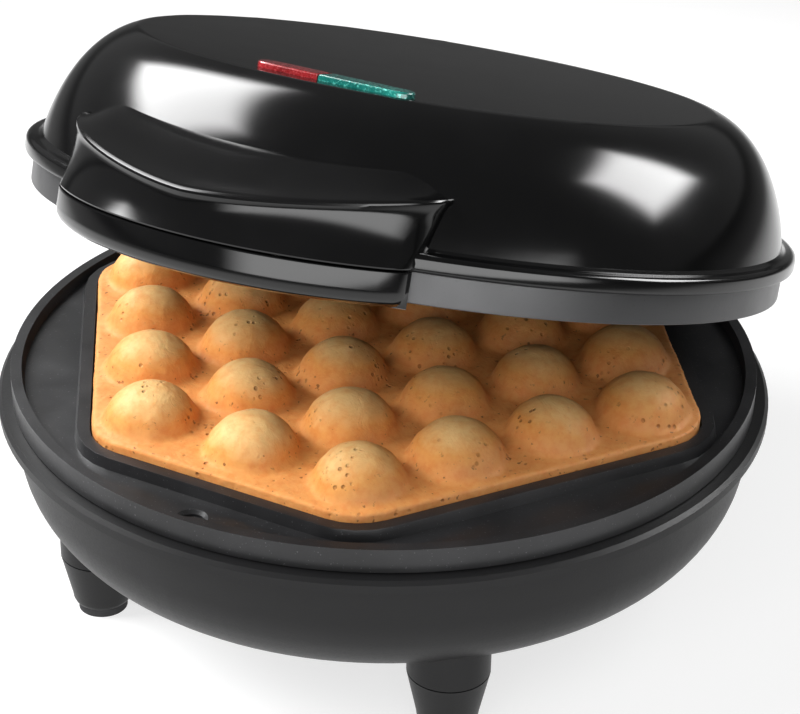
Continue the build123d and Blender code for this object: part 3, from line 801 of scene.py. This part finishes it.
def prism(name, outline, low, high, foot=None):
    # a closed outline at the low height, drawn up to the high one
    obj = drawLine(name, [(x, y, low) for x, y, _ in (foot or outline)], closed=True)
    edit(obj)
    bpy.ops.mesh.select_all(action="SELECT")
    bpy.ops.mesh.extrude_region_move(TRANSFORM_OT_translate={"value": (0, 0, (high - low) * mm)})
    if foot:
        spread = Vector(outline[0]).xy.length / Vector(foot[0]).xy.length
        bpy.ops.transform.resize(value=(spread, spread, 1))
    bpy.ops.mesh.select_all(action="SELECT")
    bpy.ops.mesh.normals_make_consistent(inside=False)
    bpy.ops.object.mode_set(mode="OBJECT")
    return obj


def carve(obj, tool, how="DIFFERENCE"):
    modify(obj, "BOOLEAN", operation=how, object=tool, solver="EXACT")
    pick(tool)
    bpy.ops.object.delete()


def repeated(first, spots):
    copies = []
    for x, y in spots:
        pick(first)
        bpy.ops.object.duplicate(linked=False)
        copy = bpy.context.object
        copy.location = Vector((x, y, 0)) * mm
        copies.append(copy)
    pick(first)
    bpy.ops.object.delete()
    whole = join("repeats", *copies)
    bpy.ops.object.transform_apply(location=True, rotation=True, scale=True)
    return whole


def makePlate(name, wall, hollow):
    # drawn as the lower plate, with its cooking face up at z = 0
    core, rim, well = plate["core"], plate["rim"], plate["well"]
    obj = turn(name, [(0, -plate["depth"]), (core, -plate["depth"]), (core, -wall),
                      (rim, -wall), (rim, 0), (plate["mouth"], 0),
                      (plate["mouth"] - plate["draft"], -well), (0, -well)], plate["steps"])
    ridge = prism("ridge", roundHexagon(plate["ridge"], arc=4), -well - 1, 0,
                  foot=roundHexagon(plate["ridgeFoot"] + 0.3, arc=4))
    carve(obj, ridge, "UNION")
    recess = prism("recess", roundHexagon(plate["recess"], arc=4), -plate["recessDepth"], 3)
    carve(obj, recess)
    carve(obj, repeated(hollow, bubbleCentres()))
    return obj


def makeCup():
    letGo()
    top = 3.0
    lean = (plate["cupMouth"] - plate["cupFloor"]) / plate["cupDepth"]
    low = -plate["recessDepth"] - plate["cupDepth"]
    bpy.ops.mesh.primitive_cone_add(
        vertices=6, radius1=plate["cupFloor"] * mm, depth=(top - low) * mm,
        radius2=(plate["cupMouth"] + lean * (top + plate["recessDepth"])) * mm,
        location=(0, 0, (top + low) / 2 * mm), rotation=(0, 0, 0))
    cup = bpy.context.object
    bpy.ops.object.transform_apply(location=True, rotation=True, scale=True)
    return cup


def makeDimple():
    letGo()
    bpy.ops.mesh.primitive_uv_sphere_add(segments=40, ring_count=24,
                                         radius=plate["dimple"] * mm,
                                         location=(0, 0, plate["dimpleRise"] * mm))
    bpy.ops.object.transform_apply(location=True, rotation=True, scale=True)
    return bpy.context.object


def softenPlate(obj):
    modify(obj, "BEVEL", width=plate["edge"] * mm, segments=2, limit_method="ANGLE",
           angle_limit=math.radians(plate["edgeAngle"]))


def makeLowerPlate():
    obj = makePlate("cooking_plate_lower", plate["lowerWall"], makeCup())
    hole = turn("hole", [(0, -plate["well"] - plate["holeDepth"]),
                         (plate["hole"], -plate["well"] - plate["holeDepth"]),
                         (plate["hole"], -plate["well"] - plate["chamfer"]),
                         (plate["hole"] + plate["chamfer"], -plate["well"]),
                         (plate["hole"] + plate["chamfer"], 1), (0, 1)], 32)
    pick(hole)
    bpy.ops.transform.translate(value=(0, plate["holeY"] * mm, 0))
    bpy.ops.object.transform_apply(location=True, rotation=True, scale=True)
    carve(obj, hole)
    softenPlate(obj)
    settle(obj, basePlace())
    return obj


def makeUpperPlate():
    obj = makePlate("cooking_plate_upper", plate["upperWall"], makeDimple())
    softenPlate(obj)
    pick(obj)
    bpy.ops.transform.mirror(constraint_axis=(False, False, True))
    bpy.ops.object.transform_apply(location=True, rotation=True, scale=True)
    cleanUp(obj)
    settle(obj, lidPlace() @ Matrix.Translation(Vector((0, 0, plate["gap"])) * mm))
    return obj


for piece, body, node in ((makeLowerPlate(), "base", "lower_plate"),
                          (makeUpperPlate(), "lid", "upper_plate")):
    smooth(piece, 30)
    paint(piece, "plate_coating", "upper_coating_rim_sheen" if body == "lid" else None)
    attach(piece, body)
    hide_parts(node)
    print(piece.name, len(piece.data.polygons))


# Base shell: a copy of the plain one with its edges rounded off

baseShell = {"flat": 1.0, "edge": 0.5, "edgeAngle": 30}


def makeBaseShell():
    pick(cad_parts["base_housing"])
    bpy.ops.object.duplicate(linked=False)
    obj = bpy.context.object
    obj.name = "base_shell"
    edit(obj)
    bpy.ops.mesh.select_all(action="SELECT")
    bpy.ops.mesh.remove_doubles(threshold=weld["spun"])
    bpy.ops.mesh.dissolve_limited(angle_limit=math.radians(baseShell["flat"]))
    bpy.ops.mesh.normals_make_consistent(inside=False)
    bpy.ops.object.mode_set(mode="OBJECT")
    modify(obj, "BEVEL", width=baseShell["edge"] * mm, segments=3, limit_method="ANGLE",
           angle_limit=math.radians(baseShell["edgeAngle"]))
    smooth(obj, 35)
    paint(obj, "base_plastic")
    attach(obj, "base")
    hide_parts("base_housing")


makeBaseShell()
print("base shell")


# Feet: turned cones with a rounded end

foot = {"x": 50.0, "y": 57.0, "skin": [(0, -45.8), (10.0, -45.8), (7.6, -57.0), (7.4, -58.4),
                                      (7.0, -59.3), (6.3, -59.9), (0, -60.0)]}
for side, x in (("left", -foot["x"]), ("right", foot["x"])):
    for end, y in (("front", -foot["y"]), ("back", foot["y"])):
        leg = turn("round_foot_" + end + "_" + side, foot["skin"], 48)
        settle(leg, basePlace() @ Matrix.Translation(Vector((x, y, 0)) * mm))
        smooth(leg, 35)
        paint(leg, "base_plastic")
        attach(leg, "base")
        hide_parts("foot_" + end + "_" + side)
print("feet")


# Waffle: a web with thirty bubbles, fused and wrinkled

batter = {"reach": 14.3, "web": 2.2, "radius": 12.15, "sink": 0.5, "under": (0.84, 0.84, 0.76),
          "small": 0.965, "narrow": 0.97, "jitter": 0.05, "grid": 0.8, "inward": 0.75,
          "crust": [(16.0, 0.55), (3.5, 0.4)]}


def makeWaffle():
    web = drawLine("waffle", roundHexagon(batter["reach"], -batter["web"]), closed=True)
    edit(web)
    bpy.ops.mesh.select_all(action="SELECT")
    bpy.ops.mesh.extrude_region_move(
        TRANSFORM_OT_translate={"value": (0, 0, 2 * batter["web"] * mm)})
    bpy.ops.mesh.select_all(action="SELECT")
    bpy.ops.mesh.normals_make_consistent(inside=False)
    bpy.ops.object.mode_set(mode="OBJECT")
    letGo()
    bpy.ops.mesh.primitive_uv_sphere_add(segments=48, ring_count=24, radius=batter["radius"] * mm)
    first = bpy.context.object
    edit(first)
    # the half below the web sits in the plate's cup, so it is slimmer
    selectWhere(first, lambda v: v.co.z < -0.1 * mm)
    bpy.ops.transform.resize(value=batter["under"])
    bpy.ops.object.mode_set(mode="OBJECT")
    parts = []
    narrow, stray = batter["narrow"], batter["jitter"]
    for x, y in bubbleCentres():
        pick(first)
        bpy.ops.object.duplicate(linked=False)
        copy = bpy.context.object
        grow = random.uniform(batter["small"], 1.0)
        copy.scale = (grow * random.uniform(narrow, 1.0), grow * random.uniform(narrow, 1.0), grow)
        copy.rotation_euler = (0, 0, random.uniform(0, 6.28))
        aside = random.uniform(-stray, stray), random.uniform(-stray, stray)
        copy.location = Vector((x + aside[0], y + aside[1], -batter["sink"])) * mm
        parts.append(copy)
    pick(first)
    bpy.ops.object.delete()
    obj = join("waffle_piece", web, *parts)
    pick(obj)
    bpy.ops.object.transform_apply(location=True, rotation=True, scale=True)
    modify(obj, "REMESH", mode="VOXEL", voxel_size=batter["grid"] * mm)
    modify(obj, "SMOOTH", factor=0.5, iterations=1)
    for size, strength in batter["crust"]:
        pattern = bpy.data.textures.new("crust swell", "CLOUDS")
        pattern.noise_scale = size * mm
        pattern.noise_depth = 2
        modify(obj, "DISPLACE", texture=pattern, texture_coords="LOCAL",
               strength=strength * mm, mid_level=batter["inward"])
    return obj


wafflePiece = makeWaffle()
settle(wafflePiece, basePlace())
pick(wafflePiece)
bpy.ops.object.shade_smooth()
paint(wafflePiece, "waffle")
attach(wafflePiece, "base")
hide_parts("waffle")
print("waffle", len(wafflePiece.data.polygons))


# Stage: pale floor that falls into shade far off, soft boxes, plain light

stage = {"floorReach": 6.0, "white": 0.72, "pale": (0.4, 0.4, 0.4), "shade": (0.12, 0.12, 0.12),
         "near": 0.3, "far": 0.6, "cardAim": 0.1, "lampAim": 0.08}


def direction(turnTo, rise):
    # turned from straight in front towards +X, and raised, in degrees
    a, e = math.radians(turnTo), math.radians(rise)
    return Vector((math.sin(a) * math.cos(e), -math.cos(a) * math.cos(e), math.sin(e)))


def makeFloor():
    letGo()
    bpy.ops.mesh.primitive_circle_add(vertices=96, radius=stage["floorReach"], fill_type="NGON")
    floor = bpy.context.object
    floor.name = "floor"
    f = Finish("pale floor", roughness=0.9, specular=0.0)
    spot = f.add("ShaderNodeVectorMath", {"operation": "LENGTH"}, {0: f.here()}, "Value")
    fade = spot.inRange(stage["near"], stage["far"])
    f.set("colour", f.blend(fade, stage["pale"], stage["shade"]))
    ray = lambda name: f.add("ShaderNodeLightPath", out=name)
    # gloss and glass see the white floor only near the machine
    through = ray("Is Glossy Ray").maths("MAXIMUM", ray("Is Transmission Ray")) * (1 - fade)
    seen = ray("Is Camera Ray").maths("MAXIMUM", through)
    white = f.add("ShaderNodeEmission", None,
                  {"Color": (1, 1, 1, 1), "Strength": seen * stage["white"]})
    both = f.add("ShaderNodeAddShader", None, {0: Value(f.tree, f.shader.outputs[0]), 1: white})
    f.tree.links.new(both.socket, f.output.inputs["Surface"])
    floor.data.materials.append(f.material)
    return floor


def makeCard(name, turnTo, rise, distance, width, height, strength):
    # a soft box front that shows in gloss, brightest in its middle
    letGo()
    bpy.ops.mesh.primitive_plane_add(size=1)
    card = bpy.context.object
    card.name = name
    towards = direction(turnTo, rise)
    f = Finish(name)
    x, y = f.axis("X") / (width / 2), f.axis("Y") / (height / 2)
    edge = x.maths("ABSOLUTE").maths("MAXIMUM", y.maths("ABSOLUTE"))
    lit = 1 - edge.inRange(0.55, 1.0)
    glow = f.add("ShaderNodeEmission", None, {"Color": (1, 1, 1, 1), "Strength": lit * strength})
    f.tree.links.new(glow.socket, f.output.inputs["Surface"])
    card.data.materials.append(f.material)
    card.scale = (width, height, 1)
    pick(card)
    bpy.ops.object.transform_apply(location=False, rotation=False, scale=True)
    card.location = Vector((0, 0, stage["cardAim"])) + towards * distance
    card.rotation_euler = towards.to_track_quat("Z", "Y").to_euler()
    card.visible_camera = card.visible_diffuse = card.visible_shadow = False
    return card


def makeLamp(name, turnTo, rise, distance, width, height, power):
    # lights the machine but doesn't show in its gloss
    letGo()
    bpy.ops.object.light_add(type="AREA")
    lamp = bpy.context.object
    lamp.name = name
    towards = direction(turnTo, rise)
    lamp.location = Vector((0, 0, stage["lampAim"])) + towards * distance
    lamp.rotation_euler = towards.to_track_quat("Z", "Y").to_euler()
    lamp.data.shape = "RECTANGLE"
    lamp.data.size, lamp.data.size_y, lamp.data.energy = width, height, power
    lamp.visible_glossy = False


def makeWorld():
    world = bpy.data.worlds.new("studio")
    bpy.context.scene.world = world
    world.use_nodes = True
    tree = world.node_tree
    back = tree.nodes["Background"]
    ray = Value(tree, tree.nodes.new("ShaderNodeLightPath").outputs["Is Camera Ray"])
    plug(tree, back.inputs["Strength"], ray * (1 - stage["shade"][0]) + stage["shade"][0])
    back.inputs["Color"].default_value = (1, 1, 1, 1)


floor = makeFloor()
cards = [makeCard("left soft box", -92, 43, 1.1, 1.15, 0.8, 16),
         makeCard("right soft box", 128, 31, 1.1, 0.7, 0.6, 16),
         makeCard("low front card", 38, 8, 1.3, 2.6, 0.8, 4.8)]
makeLamp("left lamp", -62, 40, 1.2, 0.8, 0.7, 22.5)
makeLamp("front lamp", 20, 34, 1.3, 1.2, 0.9, 7.0)
makeLamp("right lamp", 120, 45, 1.2, 0.8, 0.7, 4.0)
makeWorld()
print("stage set")


# Camera at the photograph's angle

view = {"azimuth": 28.6, "rise": 28.4, "roll": 0.9, "focal": 2300.0, "distance": 585.0,
        "slideX": 4.0, "slideY": -2.5, "width": 800, "sensor": 36.0}


def makeCamera():
    a, r = math.radians(view["azimuth"]), math.radians(view["roll"])
    back = direction(view["azimuth"], view["rise"])
    right = Vector((math.cos(a), math.sin(a), 0))
    up = back.cross(right)
    across = math.cos(r) * right + math.sin(r) * up
    above = math.cos(r) * up - math.sin(r) * right
    eye = across * view["slideX"] + above * view["slideY"] + back * view["distance"]
    letGo()
    bpy.ops.object.camera_add()
    camera = bpy.context.object
    spin = Matrix((across, above, back)).transposed().to_4x4()
    camera.matrix_world = basePlace() @ Matrix.Translation(eye * mm) @ spin
    camera.data.sensor_width = view["sensor"]
    camera.data.lens = view["focal"] * view["sensor"] / view["width"]
    camera.data.clip_start = 10 * mm
    bpy.context.scene.camera = camera


makeCamera()
bpy.context.scene.view_settings.view_transform = "Standard"

print("finishing")
